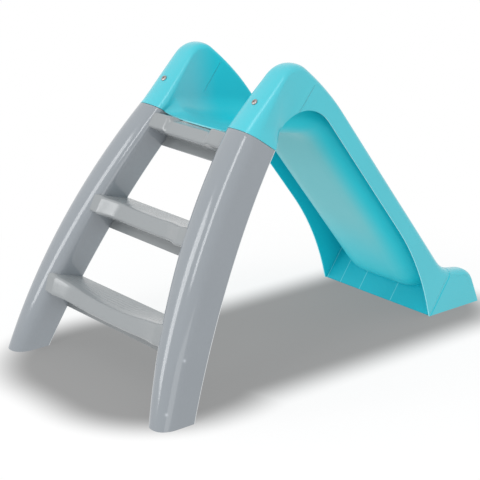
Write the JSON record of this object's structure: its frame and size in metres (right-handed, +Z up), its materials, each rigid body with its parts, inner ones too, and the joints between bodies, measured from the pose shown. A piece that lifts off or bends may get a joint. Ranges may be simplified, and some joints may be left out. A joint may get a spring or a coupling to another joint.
{
  "type": "kids slide",
  "caption": "Free-standing toddler slide: a moulded chute whose ears are bolted over the tops of a splayed ladder with curved treads.",
  "frame": {"origin": "on the floor, under the middle of the slide's overall length and width", "axes": "+X the sliding direction, from the ladder to the run-out; +Y across, to the left of a child who slides down; +Z up"},
  "size_m": [1.2309, 0.7, 0.7699],
  "materials": {
    "chute_plastic": "glossy turquoise",
    "ladder_plastic": "glossy mid grey",
    "zinc_steel": "zinc plated"
  },
  "bodies": {
    "root": {"chute": "chute_plastic", "left_ladder_side": "ladder_plastic", "right_ladder_side": "ladder_plastic", "lower_tread": "ladder_plastic", "middle_tread": "ladder_plastic", "upper_tread": "ladder_plastic", "left_bolt": "zinc_steel", "right_bolt": "zinc_steel", "left_washer": "zinc_steel", "right_washer": "zinc_steel", "left_nut": "zinc_steel", "right_nut": "zinc_steel"}
  },
  "joints": []
}
